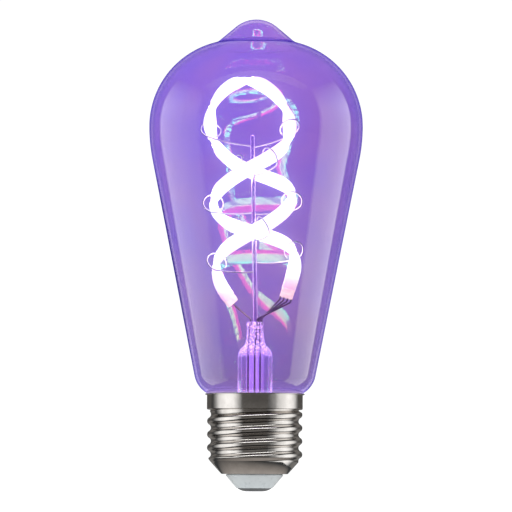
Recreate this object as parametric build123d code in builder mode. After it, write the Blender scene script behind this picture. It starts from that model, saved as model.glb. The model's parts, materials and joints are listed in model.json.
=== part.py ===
from build123d import *
from math import acos, asin, cos, degrees, radians, sin
import os

# Filament LED bulb: clear tapered glass with a nub, on an E27 screw cap.
# Lengths are millimetres and angles are degrees. The origin is the foot of the centre contact, +Z is up,
# and the side that is seen first faces -Y. Heights of the cap and the glass add up from the foot.

# Centre contact and insulator
contact_diameter = 9.2
contact_height = 0.9
contact_land_diameter = 4.0
contact_edge_height = 0.1
contact_pin_diameter = 2.2
contact_pin_length = 5.5
insulator_foot_diameter = 10.2
insulator_height = 3.85
insulator_overlap = 0.4
insulator_flange_width = 1.1
insulator_flange_height = 1.1

# Screw shell, E27
shell_wall = 0.35
shell_mouth_diameter = 14.8
cone_foot_diameter = 18.6
cone_height = 3.25
thread_crest_diameter = 26.05
thread_root_diameter = 23.96
thread_pitch = 3.629
thread_crest_land = 0.9
thread_root_land = 0.5
thread_length = 14.3
thread_start_drop = 1.54
thread_sink = 0.1
collar_diameter = 26.2
collar_height = 4.4
rim_height = 0.5
rim_overhang = 0.5

# Glass envelope
glass_wall = 0.8
neck_depth = 9.7
neck_fillet = 1.5
foot_rise = 4.8
foot_radius = 7.0
rim_clearance = 0.3
taper_angle = 11.3
belly_rise = 68.5
belly_radius = 46.0
widest_diameter = 58.6
shoulder_radius = 23.6
nub_rise = 5.9
nub_radius = 8.8
nub_cone_angle = 49.7
nub_fillet = 5.0
cement_thickness = 0.5
cement_depth = 2.8

# Stem, exhaust tube and pillar rod
stem_diameter = 9.5
stem_length = 19.5
flare_band = 1.2
flare_rise = 6.0
dome_radius = 4.0
dome_turn = 56.0
pinch_rise = 2.4
pinch_width = 5.0
pinch_depth = 5.8
press_rise = 4.2
press_width = 4.7
press_depth = 3.0
exhaust_diameter = 5.0
exhaust_wall = 0.8
exhaust_tail = 4.5
pillar_diameter = 1.1
pillar_length = 51.3
pillar_lean = 1.1

# Filament strip: heights above the press at every step of turn, counted down from the crown
spiral_radius = 10.9
spiral_lean = 2.55
spiral_offset = 0.7
strip_width = 3.8
strip_thickness = 1.6
strip_chamfer = 0.45
strip_end_length = 2.4
crown_rise = 66.4
crown_twist = 40.0
level_turn = 45.0
right_levels = (53.3, 45.9, 41.6, 37.2, 32.9, 28.1, 25.3, 22.0, 17.3)
right_tail_turn = 38.0
right_tail_level = 8.1
left_levels = (54.9, 47.0, 42.1, 38.5, 34.1, 28.9, 24.1, 20.0, 14.9)
left_tail_turn = 43.0
left_tail_level = 7.6
points_per_strand = 12
points_per_crown_side = 4

# Support wires: turns down from the crown at which each side of the spiral is held, and how far below
# that place each one starts
support_diameter = 0.4
support_clearance = 0.7
support_ring_arc = 310.0
support_drops = (5.0, 4.0, 3.0, 3.0, 3.0)
support_dip = 24.0
right_support_turns = (2.0, 62.0, 180.0, 242.0, 346.0)
left_support_turns = (8.0, 66.0, 194.0, 257.0, 346.0)

# Leads: place in the press as shares of its half width and half depth, angle round the stem below it,
# and place across the strip's end in steps of the lead pitch
lead_diameter = 0.45
lead_pitch = 1.0
lead_exit = 0.9
lead_straight = 0.8
lead_bend_radius = 0.8
lead_table = {
    "lead_red": (0.21, -0.50, -92.0, 1.5),
    "lead_green": (0.40, -0.22, -66.0, 0.5),
    "lead_white": (0.58, 0.06, 88.0, -0.5),
    "lead_blue": (0.76, 0.34, 44.0, -1.5),
    "lead_common": (-0.55, 0.0, -124.0, 0.0),
}
wire_sides = 6

# Driver board and its components
board_clearance = 0.3
board_thickness = 1.0
component_distance = 7.0
capacitor_diameter = 5.0
capacitor_height = 6.0
capacitor_angle = 155.0
capacitor_groove = 0.3
capacitor_groove_height = 0.9
choke_diameter = 5.0
choke_height = 5.0
choke_angle = 215.0
choke_flange = 0.8
choke_winding_depth = 0.4
chip_length = 4.9
chip_width = 3.9
chip_height = 1.6
chip_angle = 0.0
rectifier_length = 4.7
rectifier_width = 3.8
rectifier_height = 1.5
rectifier_angle = 90.0
package_stand_off = 0.1
package_bevel = 0.2
leg_foot = 1.0
leg_width = 0.4
resistor_diameter = 2.3
resistor_length = 6.0
resistor_angle = 290.0
resistor_rise = 1.3
resistor_leg_run = 1.3
hookup_diameter = 0.6
shell_wire_angle = 40.0
shell_wire_distance = 9.6
shell_wire_rise = 2.5
wire_stub = 0.5
wire_end_clearance = 0.05

# Heights up the cap and the glass
lip_height = contact_height + insulator_height
lip_top_height = lip_height + shell_wall
thread_foot_height = lip_height + cone_height
collar_foot_height = thread_foot_height + thread_length
cap_height = collar_foot_height + collar_height
neck_foot_height = cap_height - neck_depth
taper_foot_height = cap_height + foot_rise
widest_height = taper_foot_height + belly_rise
bulb_length = widest_height + shoulder_radius + nub_rise
dome_foot_height = neck_foot_height + stem_length
dome_height = dome_foot_height + dome_radius * sin(radians(dome_turn))
stem_ceiling = dome_height - glass_wall
pinch_height = dome_height + pinch_rise
press_height = pinch_height + press_rise
board_top_height = thread_foot_height + board_thickness
pin_top_height = contact_height + contact_pin_length

# Radii
pin_radius = contact_pin_diameter / 2
mouth_radius = shell_mouth_diameter / 2
crest_radius = thread_crest_diameter / 2
root_radius = thread_root_diameter / 2
shell_bore_radius = root_radius - shell_wall
collar_radius = collar_diameter / 2
collar_bore_radius = collar_radius - shell_wall
neck_radius = shell_bore_radius - cement_thickness
flare_radius = neck_radius - glass_wall
stem_radius = stem_diameter / 2
dome_crown_radius = stem_radius - dome_radius * (1 - cos(radians(dome_turn)))
exhaust_radius = exhaust_diameter / 2
lead_circle_radius = (exhaust_radius + stem_radius - glass_wall) / 2
pillar_radius = pillar_diameter / 2
ring_radius = strip_width / 2 + support_clearance + support_diameter / 2
board_radius = shell_bore_radius - board_clearance
widest_radius = widest_diameter / 2



def leaning_frame(offset, lean):
    """Frame that stands on the press, moved along +X and leaning towards -X."""
    return Plane(
        origin=(offset, 0, press_height),
        x_dir=(cos(radians(lean)), 0, sin(radians(lean))),
        z_dir=(-sin(radians(lean)), 0, cos(radians(lean))),
    )


# The spiral is wound by hand, so it leans a little more than the pillar that carries it
pillar_frame = leaning_frame(0, pillar_lean)
spiral_frame = leaning_frame(spiral_offset, spiral_lean)


def write(piece, name):
    """Label a finished piece and write it to its own file."""
    piece.part.label = name
    export_step(piece.part, f"parts/{name}.step")


def wire_start(line):
    """Plane across the start of a wire."""
    return Plane(origin=line.wire() @ 0, z_dir=line.wire() % 0)


def board_place(angle, distance):
    """Plane on top of the board, its x pointing away from the axis."""
    outward = Vector(cos(radians(angle)), sin(radians(angle)), 0)
    origin = outward * distance + Vector(0, 0, board_top_height)
    return Plane(origin=origin, x_dir=outward, z_dir=(0, 0, 1))


os.makedirs("parts", exist_ok=True)

# Glass envelope: nub, shoulder, belly, taper and foot in one profile, then hollow from the neck
with BuildPart() as glass_envelope:
    with BuildSketch(Plane.XZ) as envelope_profile:
        with BuildLine():
            nub = CenterArc((0, bulb_length - nub_radius), nub_radius, 90, nub_cone_angle - 90)
            shoulder_circle = CenterArc(
                (widest_radius - shoulder_radius, widest_height),
                shoulder_radius,
                0,
                90,
                mode=Mode.PRIVATE,
            )
            nub_cone = IntersectingLine(nub @ 1, nub % 1, shoulder_circle)
            shoulder = RadiusArc(nub_cone @ 1, (widest_radius, widest_height), shoulder_radius)
            belly = JernArc(shoulder @ 1, (0, -1), belly_radius, -taper_angle)
            taper = PolarLine(
                belly @ 1,
                (belly @ 1).Y - taper_foot_height,
                angle=270 - taper_angle,
                length_mode=LengthMode.VERTICAL,
            )
            # The foot's fillet is limited by the cap's rim, which it passes at the rim's clearance or more
            foot_overhang = (taper @ 1).X - collar_radius - rim_overhang
            foot_reach = foot_overhang * cos(radians(taper_angle)) - foot_rise * sin(radians(taper_angle))
            foot_fillet = foot_radius
            if foot_reach + rim_clearance > 0:
                widest_fillet = foot_overhang**2 + foot_rise**2 - rim_clearance**2
                foot_fillet = min(foot_radius, widest_fillet / (foot_reach + rim_clearance) / 2)
            foot_centre_radius = (taper @ 1).X - foot_fillet * cos(radians(taper_angle))
            foot_turn = degrees(
                acos((neck_radius + neck_fillet - foot_centre_radius) / (foot_fillet + neck_fillet))
            )
            foot = JernArc(taper @ 1, taper % 1, foot_fillet, taper_angle - foot_turn)
            neck_bend = JernArc(foot @ 1, foot % 1, neck_fillet, foot_turn)
            neck = Line(neck_bend @ 1, (neck_radius, neck_foot_height))
            Polyline(neck @ 1, (0, neck_foot_height), nub @ 0)
        make_face()
        fillet(envelope_profile.vertices().sort_by_distance(nub_cone @ 1)[0], nub_fillet)
    revolve(axis=Axis.Z)
    offset(amount=-glass_wall, openings=glass_envelope.faces().sort_by(Axis.Z)[0])
write(glass_envelope, "glass_envelope")

# Filament line: each side of the spiral is drawn flat as height over turn, then wrapped round an axis


def strand_heights(levels, tail_turn, tail_level):
    """Height over turn of one side of the spiral, as a flat curve."""
    level_points = [(level_turn * number, level) for number, level in enumerate(levels)]
    return Spline(*level_points, (level_points[-1][0] + tail_turn, tail_level))


def strand_height(heights, turn):
    """Height of a strand at a turn counted down from the crown."""
    return heights.find_intersection_points(Axis((turn, 0, 0), (0, 1, 0)))[0].Y


def wrap(radius, turn, height, side):
    """Point on the spiral: side 0 starts at +X, side 180 at -X, and turns run clockwise."""
    angle = radians(side - turn)
    return spiral_frame.from_local_coords(Vector(radius * cos(angle), radius * sin(angle), height))


def strand_points(heights, side):
    """Points up one side of the spiral, from its tail to just short of the crown."""
    last_turn = (heights @ 1).X
    foot_level = (heights @ 0).Y
    points = []
    for step in range(points_per_strand):
        turn = last_turn * (1 - step / (points_per_strand - 1))
        points.append(wrap(spiral_radius, turn, strand_height(heights, turn), side))
    for step in range(1, points_per_crown_side):
        share = step / points_per_crown_side
        radius = spiral_radius * cos(radians(90 * share))
        height = foot_level + (crown_rise - foot_level) * sin(radians(90 * share))
        points.append(wrap(radius, -crown_twist * share, height, side))
    return points


right_heights = strand_heights(right_levels, right_tail_turn, right_tail_level)
left_heights = strand_heights(left_levels, left_tail_turn, left_tail_level)
with BuildLine() as filament_line:
    Spline(
        *strand_points(right_heights, 0),
        wrap(0, 0, crown_rise, 0),
        *reversed(strand_points(left_heights, 180)),
    )
filament_path = filament_line.wire()


def strip_frame(point, heading):
    """Plane across the strip, its x along the strip's width, which lies along the spiral's surface."""
    local_point = spiral_frame.to_local_coords(point)
    radial = spiral_frame.x_dir * local_point.X + spiral_frame.y_dir * local_point.Y
    return Plane(origin=point, x_dir=heading.cross(radial), z_dir=heading)


def strip_section():
    """Section of the strip: a flat bar with its long edges taken off."""
    strip = Rectangle(strip_width, strip_thickness)
    chamfer(strip.vertices(), strip_chamfer)


# Filament strip: one piece, wound down both sides of the spiral from the crown
with BuildPart() as led_filament:
    with BuildSketch(strip_frame(filament_path @ 0, filament_path % 0)):
        strip_section()
    sweep(path=filament_path, is_frenet=True)
write(led_filament, "led_filament")

# Metal ends of the strip
right_end_frame = strip_frame(filament_path @ 0, -(filament_path % 0))
left_end_frame = strip_frame(filament_path @ 1, filament_path % 1)
for end_name, end_frame in (
    ("filament_end_right", right_end_frame),
    ("filament_end_left", left_end_frame),
):
    with BuildPart() as filament_end:
        with BuildSketch(end_frame):
            strip_section()
        extrude(amount=strip_end_length)
    write(filament_end, end_name)

# Leads: from an end of the strip, through the press, down beside the exhaust tube to the board
leads = []
for lead_name, (across, deep, stem_angle, end_step) in lead_table.items():
    end_frame = left_end_frame if lead_name == "lead_common" else right_end_frame
    end_face = end_frame.from_local_coords(Vector(end_step * lead_pitch, 0, strip_end_length))
    press_point = Vector(across * press_width / 2, deep * press_depth / 2, press_height)
    stem_point = Vector(
        lead_circle_radius * cos(radians(stem_angle)),
        lead_circle_radius * sin(radians(stem_angle)),
        stem_ceiling - lead_straight,
    )
    with BuildLine() as lead_line:
        FilletPolyline(
            end_face,
            end_face + end_frame.z_dir * lead_exit,
            press_point + (press_point - stem_point).normalized() * lead_straight,
            stem_point,
            (stem_point.X, stem_point.Y, thread_foot_height - wire_stub),
            radius=lead_bend_radius,
        )
    with BuildPart() as lead:
        with BuildSketch(wire_start(lead_line)):
            RegularPolygon(lead_diameter / 2, wire_sides)
        sweep(path=lead_line.wire())
    write(lead, lead_name)
    leads.append(lead.part)

# Glass stem: flared tube, closed by a dome that is pinched flat round the leads
with BuildPart() as glass_stem:
    with BuildSketch(Plane.XZ):
        with BuildLine():
            tube = Polyline(
                (0, neck_foot_height),
                (flare_radius, neck_foot_height),
                (flare_radius, neck_foot_height + flare_band),
                (stem_radius, neck_foot_height + flare_band + flare_rise),
                (stem_radius, dome_foot_height),
            )
            dome = JernArc(tube @ 1, (0, 1), dome_radius, dome_turn)
            Polyline(dome @ 1, (0, dome_height), tube @ 0)
        make_face()
    revolve(axis=Axis.Z)
    offset(
        amount=-glass_wall,
        openings=glass_stem.faces().sort_by(Axis.Z)[0],
        kind=Kind.INTERSECTION,
    )
    with BuildSketch(Plane.XY.offset(dome_height)):
        Circle(dome_crown_radius)
    with BuildSketch(Plane.XY.offset(pinch_height)):
        Ellipse(pinch_width / 2, pinch_depth / 2)
    with BuildSketch(Plane.XY.offset(press_height)):
        Ellipse(press_width / 2, press_depth / 2)
    loft(ruled=True)
    add(leads, mode=Mode.SUBTRACT)
write(glass_stem, "glass_stem")

# Exhaust tube: hangs from the stem's ceiling, its lower end melted shut
with BuildPart() as exhaust_tube:
    with BuildSketch(Plane.XZ):
        with BuildLine():
            exhaust_foot_height = neck_foot_height - exhaust_tail
            tip = CenterArc((0, exhaust_foot_height + exhaust_radius), exhaust_radius, 270, 90)
            exhaust_bore_radius = exhaust_radius - exhaust_wall
            Polyline(
                tip @ 1,
                (exhaust_radius, stem_ceiling),
                (exhaust_bore_radius, stem_ceiling),
                (exhaust_bore_radius, exhaust_foot_height + exhaust_radius),
                (0, exhaust_foot_height + exhaust_radius),
                tip @ 0,
            )
        make_face()
    revolve(axis=Axis.Z)
write(exhaust_tube, "exhaust_tube")

# Pillar rod
with BuildPart() as pillar_rod:
    with BuildSketch(Plane.XY.offset(press_height)):
        Circle(pillar_radius)
    extrude(amount=pillar_length, dir=pillar_frame.z_dir)
write(pillar_rod, "pillar_rod")

# Support wires: an easy bend up from the pillar that runs on into a ring round the strip


def support_frame(heights, side, turn, drop):
    """Frame of a support, its origin on the pillar's axis and its x towards the strip, and its reach."""
    height = strand_height(heights, turn)
    seat = pillar_frame.from_local_coords(Vector(0, 0, height - drop))
    held = wrap(spiral_radius, turn, height, side)
    above = wrap(spiral_radius, turn - 1, strand_height(heights, turn - 1), side)
    reach = held - seat
    along = above - held
    across = reach * (along.dot(reach) / reach.dot(reach)) - along
    return Plane(origin=seat, x_dir=reach, z_dir=across), reach.length


for side_name, side, heights, turns in (
    ("right", 0, right_heights, right_support_turns),
    ("left", 180, left_heights, left_support_turns),
):
    for number, (turn, drop) in enumerate(zip(turns, support_drops), start=1):
        frame, reach = support_frame(heights, side, turn, drop)
        sag = reach * sin(radians(support_dip)) - ring_radius
        bend_radius = (reach**2 - ring_radius**2) / (2 * sag)
        bend_turn = degrees(asin(reach * cos(radians(support_dip)) / (bend_radius - ring_radius)))
        with BuildLine(frame) as support_line:
            JernArc(
                (0, 0),
                (cos(radians(support_dip)), -sin(radians(support_dip))),
                bend_radius,
                bend_turn,
            )
            CenterArc((reach, 0), ring_radius, 270 - support_dip + bend_turn, support_ring_arc)
        with BuildPart() as support_wire:
            with BuildSketch(wire_start(support_line)):
                RegularPolygon(support_diameter / 2, wire_sides)
            sweep(path=support_line.wire())
            add(pillar_rod.part, mode=Mode.SUBTRACT)
        write(support_wire, f"support_{side_name}_{number}")

# Screw thread: a ridge rolled round the shell, sunk a little into its wall
thread_rise = crest_radius - root_radius
flank_run = (thread_pitch - thread_root_land - thread_crest_land) / 2
base_half = thread_crest_land / 2 + flank_run * (1 + thread_sink / thread_rise)
thread_start_height = thread_foot_height - thread_start_drop
with BuildPart() as thread_ridge:
    with BuildLine() as thread_line:
        Helix(
            thread_pitch,
            thread_length + thread_start_drop + thread_pitch / 2,
            root_radius,
            center=(0, 0, thread_start_height),
        )
    with BuildSketch(Plane(origin=thread_line.line @ 0, x_dir=(1, 0, 0), z_dir=thread_line.line % 0)):
        with BuildLine():
            Polyline(
                (-thread_sink, -base_half),
                (thread_rise, -thread_crest_land / 2),
                (thread_rise, thread_crest_land / 2),
                (-thread_sink, base_half),
                close=True,
            )
        make_face()
    sweep(path=thread_line.line, is_frenet=True)
    with Locations((0, 0, thread_foot_height)):
        Cylinder(
            collar_radius,
            thread_length + thread_sink,
            align=(Align.CENTER, Align.CENTER, Align.MIN),
            mode=Mode.INTERSECT,
        )

# Screw shell: cone, thread and collar pressed from one sheet
with BuildPart() as screw_shell:
    with BuildSketch(Plane.XZ):
        with BuildLine():
            Polyline(
                (0, lip_height),
                (cone_foot_diameter / 2, lip_height),
                (root_radius, thread_foot_height),
                (root_radius, collar_foot_height),
                (collar_radius, collar_foot_height),
                (collar_radius, cap_height - rim_height),
                (collar_radius + rim_overhang, cap_height),
                (0, cap_height),
                close=True,
            )
        make_face()
    revolve(axis=Axis.Z)
    offset(
        amount=-shell_wall,
        openings=screw_shell.faces().sort_by(Axis.Z)[-1],
        kind=Kind.INTERSECTION,
    )
    with BuildSketch(Plane.XY.offset(lip_height)):
        Circle(mouth_radius)
    extrude(amount=shell_wall, mode=Mode.SUBTRACT)
    add(thread_ridge.part)
write(screw_shell, "screw_shell")

# Insulator: moulded round the edge of the shell's mouth
with BuildPart() as cap_insulator:
    with BuildSketch(Plane.XZ):
        with BuildLine():
            Polyline(
                (pin_radius, contact_height),
                (insulator_foot_diameter / 2, contact_height),
                (mouth_radius + insulator_overlap, lip_height),
                (mouth_radius, lip_height),
                (mouth_radius, lip_top_height),
                (mouth_radius + insulator_flange_width, lip_top_height),
                (mouth_radius + insulator_flange_width, lip_top_height + insulator_flange_height),
                (pin_radius, lip_top_height + insulator_flange_height),
                close=True,
            )
        make_face()
    revolve(axis=Axis.Z)
write(cap_insulator, "cap_insulator")

# Centre contact: shallow dome with a flat land, on a pin through the insulator
with BuildPart() as centre_contact:
    with BuildSketch(Plane.XZ):
        with BuildLine():
            land = Line((0, 0), (contact_land_diameter / 2, 0))
            dome = TangentArc(
                land @ 1, (contact_diameter / 2, contact_height - contact_edge_height), tangent=(1, 0)
            )
            Polyline(
                dome @ 1,
                (contact_diameter / 2, contact_height),
                (pin_radius, contact_height),
                (pin_radius, pin_top_height),
                (0, pin_top_height),
                (0, 0),
            )
        make_face()
    revolve(axis=Axis.Z)
write(centre_contact, "centre_contact")

# Cement between the neck and the shell, up to where the neck bends outwards
with BuildPart() as capping_cement:
    with BuildSketch(Plane.XZ):
        with BuildLine():
            Polyline(
                (neck_radius, collar_foot_height - cement_depth),
                (shell_bore_radius, collar_foot_height - cement_depth),
                (shell_bore_radius, collar_foot_height + shell_wall),
                (collar_bore_radius, collar_foot_height + shell_wall),
                (collar_bore_radius, (neck_bend @ 1).Y),
                (neck_radius, (neck_bend @ 1).Y),
                close=True,
            )
        make_face()
    revolve(axis=Axis.Z)
write(capping_cement, "capping_cement")

# Wires from the board to the shell and to the centre contact
shell_wire_pad = board_place(shell_wire_angle, shell_wire_distance)
with BuildLine(shell_wire_pad) as shell_wire_line:
    FilletPolyline(
        (0, 0, -board_thickness - wire_stub),
        (0, 0, shell_wire_rise),
        (shell_bore_radius - shell_wire_distance - wire_end_clearance, 0, shell_wire_rise),
        radius=hookup_diameter,
    )
with BuildPart() as shell_wire:
    with BuildSketch(wire_start(shell_wire_line)):
        RegularPolygon(hookup_diameter / 2, wire_sides)
    sweep(path=shell_wire_line.wire())
write(shell_wire, "shell_wire")

with BuildPart() as contact_wire:
    with BuildSketch(Plane.XY.offset(pin_top_height)):
        RegularPolygon(hookup_diameter / 2, wire_sides)
    extrude(amount=board_top_height + wire_stub - pin_top_height)
write(contact_wire, "contact_wire")

# Driver board: a disc that rests where the shell's cone begins, with a hole for each wire
with BuildPart() as driver_board:
    with BuildSketch(Plane.XY.offset(thread_foot_height)):
        Circle(board_radius)
    extrude(amount=board_thickness)
    add(leads, mode=Mode.SUBTRACT)
    add(shell_wire.part, mode=Mode.SUBTRACT)
    add(contact_wire.part, mode=Mode.SUBTRACT)
write(driver_board, "driver_board")

# Smoothing capacitor: a can with a rolled groove near its foot
capacitor_place = board_place(capacitor_angle, component_distance)
with BuildPart() as smoothing_capacitor:
    with BuildSketch(capacitor_place):
        Circle(capacitor_diameter / 2)
    extrude(amount=capacitor_height)
    with BuildSketch(capacitor_place.offset(capacitor_groove_height)):
        Circle(capacitor_diameter / 2)
        Circle(capacitor_diameter / 2 - capacitor_groove, mode=Mode.SUBTRACT)
    extrude(amount=capacitor_groove, mode=Mode.SUBTRACT)
write(smoothing_capacitor, "smoothing_capacitor")

# Filter choke: a ferrite drum with its winding between two flanges
choke_place = board_place(choke_angle, component_distance)
with BuildPart() as filter_choke:
    with BuildSketch(choke_place):
        Circle(choke_diameter / 2)
    extrude(amount=choke_height)
    with BuildSketch(choke_place.offset(choke_flange)):
        Circle(choke_diameter / 2)
        Circle(choke_diameter / 2 - choke_winding_depth, mode=Mode.SUBTRACT)
    extrude(amount=choke_height - 2 * choke_flange, mode=Mode.SUBTRACT)
write(filter_choke, "filter_choke")

# Moulded packages: a body held off the board by two rows of legs
for package_name, angle, length, width, height, legs_per_row in (
    ("driver_chip", chip_angle, chip_length, chip_width, chip_height, 4),
    ("bridge_rectifier", rectifier_angle, rectifier_length, rectifier_width, rectifier_height, 2),
):
    package_place = board_place(angle, component_distance)
    with BuildPart() as package:
        with BuildSketch(package_place.offset(package_stand_off)):
            Rectangle(width, length)
        extrude(amount=height - package_stand_off)
        chamfer(package.edges().group_by(Axis.Z)[-1], package_bevel)
        with BuildSketch(package_place):
            with GridLocations(width + leg_foot, length / legs_per_row, 2, legs_per_row):
                Rectangle(leg_foot, leg_width)
        extrude(amount=height / 2)
    write(package, package_name)

# Fuse resistor: a coated body on two bent wires
resistor_place = board_place(resistor_angle, component_distance)
resistor_middle = resistor_place.origin + resistor_place.z_dir * resistor_rise
with BuildPart() as fuse_resistor:
    with BuildSketch(Plane(origin=resistor_middle, z_dir=resistor_place.y_dir)):
        Circle(resistor_diameter / 2)
    extrude(amount=resistor_length / 2, both=True)
    for leg_side in (-1, 1):
        leg_bend = leg_side * (resistor_length / 2 + resistor_leg_run)
        with BuildLine(resistor_place) as resistor_leg:
            FilletPolyline(
                (0, leg_side * resistor_length / 2, resistor_rise),
                (0, leg_bend, resistor_rise),
                (0, leg_bend, 0),
                radius=hookup_diameter,
            )
        with BuildSketch(wire_start(resistor_leg)):
            RegularPolygon(hookup_diameter / 2, wire_sides)
        sweep(path=resistor_leg.wire())
write(fuse_resistor, "fuse_resistor")
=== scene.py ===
"""A lit filament LED bulb on a screw cap, dressed for a studio picture.

Pieces are drawn in millimetres and turned into metres when their mesh is finished.
"""

import json
from math import acos, asin, atan2, cos, degrees, hypot, radians, sin, sqrt, tau

import bmesh
import bpy
import numpy
from mathutils import Matrix, Quaternion, Vector


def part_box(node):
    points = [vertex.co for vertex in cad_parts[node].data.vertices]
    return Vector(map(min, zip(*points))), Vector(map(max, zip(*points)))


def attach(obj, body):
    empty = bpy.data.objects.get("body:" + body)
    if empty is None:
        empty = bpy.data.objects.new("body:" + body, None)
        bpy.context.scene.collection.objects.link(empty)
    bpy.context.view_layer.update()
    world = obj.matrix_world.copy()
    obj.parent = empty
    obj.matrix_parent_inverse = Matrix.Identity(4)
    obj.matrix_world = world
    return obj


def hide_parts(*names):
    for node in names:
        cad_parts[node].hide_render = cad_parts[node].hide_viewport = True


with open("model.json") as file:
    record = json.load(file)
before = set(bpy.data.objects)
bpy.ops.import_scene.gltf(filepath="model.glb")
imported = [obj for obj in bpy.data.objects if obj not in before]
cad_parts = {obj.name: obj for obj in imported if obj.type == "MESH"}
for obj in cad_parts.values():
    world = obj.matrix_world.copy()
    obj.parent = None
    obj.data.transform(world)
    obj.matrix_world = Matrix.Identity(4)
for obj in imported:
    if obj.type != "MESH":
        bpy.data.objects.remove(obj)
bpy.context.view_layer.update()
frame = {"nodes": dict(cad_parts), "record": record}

MM = 0.001


def reach_of(node):
    """Lowest height, highest height and half width of a node, in millimetres."""
    low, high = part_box(node)
    return low.z / MM, high.z / MM, (high.x - low.x) / 2 / MM


# Sizes that the frame gives
neck_foot, bulb_top, widest_radius = reach_of("glass_envelope")
lip_height, cap_top, rim_radius = reach_of("screw_shell")
pin_top, contact_radius = reach_of("centre_contact")[1:]
insulator_top, flange_radius = reach_of("cap_insulator")[1:]
board_foot = reach_of("driver_board")[0]
press_top = reach_of("glass_stem")[1]
pillar_top = reach_of("pillar_rod")[1]
exhaust_foot, stem_ceiling, exhaust_radius = reach_of("exhaust_tube")

# Glass envelope
glass_wall = 0.8
neck_radius = 11.13
neck_fillet = 1.5
foot_rise = 4.8
foot_radius = 7.0
taper_angle = 11.3
belly_radius = 46.0
shoulder_radius = 23.6
nub_rise = 5.9
nub_radius = 8.8
nub_cone_angle = 49.7
nub_fillet = 5.0
widest_height = bulb_top - nub_rise - shoulder_radius
taper_foot = cap_top + foot_rise

# Stem and pillar
stem_radius = 4.75
flare_radius = 10.33
flare_band = 1.2
flare_rise = 6.0
flare_fillet = 2.0
flare_fillet_rise = 0.9
flare_turn = 44.0
stem_length = 19.5
dome_foot = neck_foot + stem_length
dome_radius = 4.0
dome_turn = 56.0
exhaust_wall = 0.8
pillar_radius = 0.55
pillar_lean = radians(1.1)
# The pinched press, ring by ring: rise above the dome, half width and half depth
press_rings = (
    (0.5, 2.78, 2.92),
    (1.2, 2.58, 2.86),
    (2.0, 2.44, 2.8),
    (2.8, 2.34, 2.6),
    (3.6, 2.24, 2.3),
    (4.4, 2.3, 2.05),
    (5.1, 2.22, 1.8),
    (5.8, 2.34, 1.62),
    (6.3, 2.3, 1.5),
    (6.55, 2.0, 1.25),
    (6.6, 1.4, 0.9),
)
melt_rise = 3.0

# Filament strip
spiral_radius = 10.9
spiral_lean = radians(2.55)
spiral_offset = 0.7
strip_width = 3.8
strip_thickness = 1.6
strip_end_length = 2.4
strip_end_width = strip_width * 0.94
strip_end_thickness = strip_thickness * 0.9
strip_end_shares = (0, 0.04, 0.9, 1)
crown_rise = 66.4
crown_twist = 40.0
level_turn = 45.0
# Heights of each strand above the press at every step of turn, counted down from the crown
strands = {
    "right": {
        "side": 0,
        "levels": (53.3, 45.9, 41.6, 37.2, 32.9, 28.1, 25.3, 22.0, 17.3),
        "tail_turn": 38.0,
        "tail_level": 8.1,
    },
    "left": {
        "side": 180,
        "levels": (54.9, 47.0, 42.1, 38.5, 34.1, 28.9, 24.1, 20.0, 14.9),
        "tail_turn": 43.0,
        "tail_level": 7.6,
    },
}
points_per_strand = 12
points_per_crown_side = 4
strip_rings = 420
strip_fade = 4.4
chip_pitch = 2.2
chip_rows = (-0.9, 0.9)
chip_width = 0.7
chip_length = 1.1
chip_height = 0.16
# Brightness of the strip to the eye, in the wires and other metal, and in the glass that mirrors it
strip_strength = 3.0
strip_wire_strength = 16.0
strip_mirrored_strength = 185.0

# Support wires
support_radius = 0.2
support_clearance = 0.7
support_ring_arc = 310.0
support_drops = (5.0, 4.0, 3.0, 3.0, 3.0)
support_dip = radians(24.0)
support_bend_steps = 10
support_ring_steps = 48
support_turns = {"right": (2.0, 62.0, 180.0, 242.0, 346.0), "left": (8.0, 66.0, 194.0, 257.0, 346.0)}
ring_radius = strip_width / 2 + support_clearance + support_radius

# Leads
lead_radius = 0.225
lead_pitch = 1.0
lead_exit = 0.9
lead_straight = 0.8
lead_stub = 0.5
lead_bend = 0.45
lead_circle_radius = 3.225
press_half_width = 2.35
press_half_depth = 1.5
# Place in the press as shares of its half width and half depth, angle round the stem, and step across the end
lead_table = {
    "lead_red": (0.21, -0.50, -92.0, 1.5),
    "lead_green": (0.40, -0.22, -66.0, 0.5),
    "lead_white": (0.58, 0.06, 88.0, -0.5),
    "lead_blue": (0.76, 0.34, 44.0, -1.5),
    "lead_common": (-0.55, 0.0, -124.0, 0.0),
}

# Screw cap
shell_wall = 0.35
cone_foot_radius = 9.3
thread_foot = 8.0
thread_pitch = 3.629
thread_crest_radius = 13.025
thread_root_radius = 11.98
thread_start = 6.46
thread_run_in = 1.2
thread_run_out = 0.8
thread_rows = 180
lip_fillet = 0.4
collar_foot = 22.3
collar_radius = 13.1
collar_fillet = 0.35
rim_height = 0.5
rim_bend = 0.3
rim_edge = 0.16
rim_edge_drop = 0.18
mouth_radius = 7.4
insulator_foot_radius = 5.1
insulator_overlap = 0.4
insulator_foot_fillet = 0.4
insulator_brim_fillet = 0.3
contact_land_radius = 2.0
contact_edge_height = 0.1
contact_height = 0.9
pin_radius = 1.1

spin_steps = 160

# Shapes


def arc(centre, radius, start, end, steps=16):
    """Points of a round stretch of a profile, as radius and height; angles in degrees from outwards."""
    angles = [radians(start + (end - start) * step / steps) for step in range(steps + 1)]
    return [(centre[0] + radius * cos(angle), centre[1] + radius * sin(angle)) for angle in angles]


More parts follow.
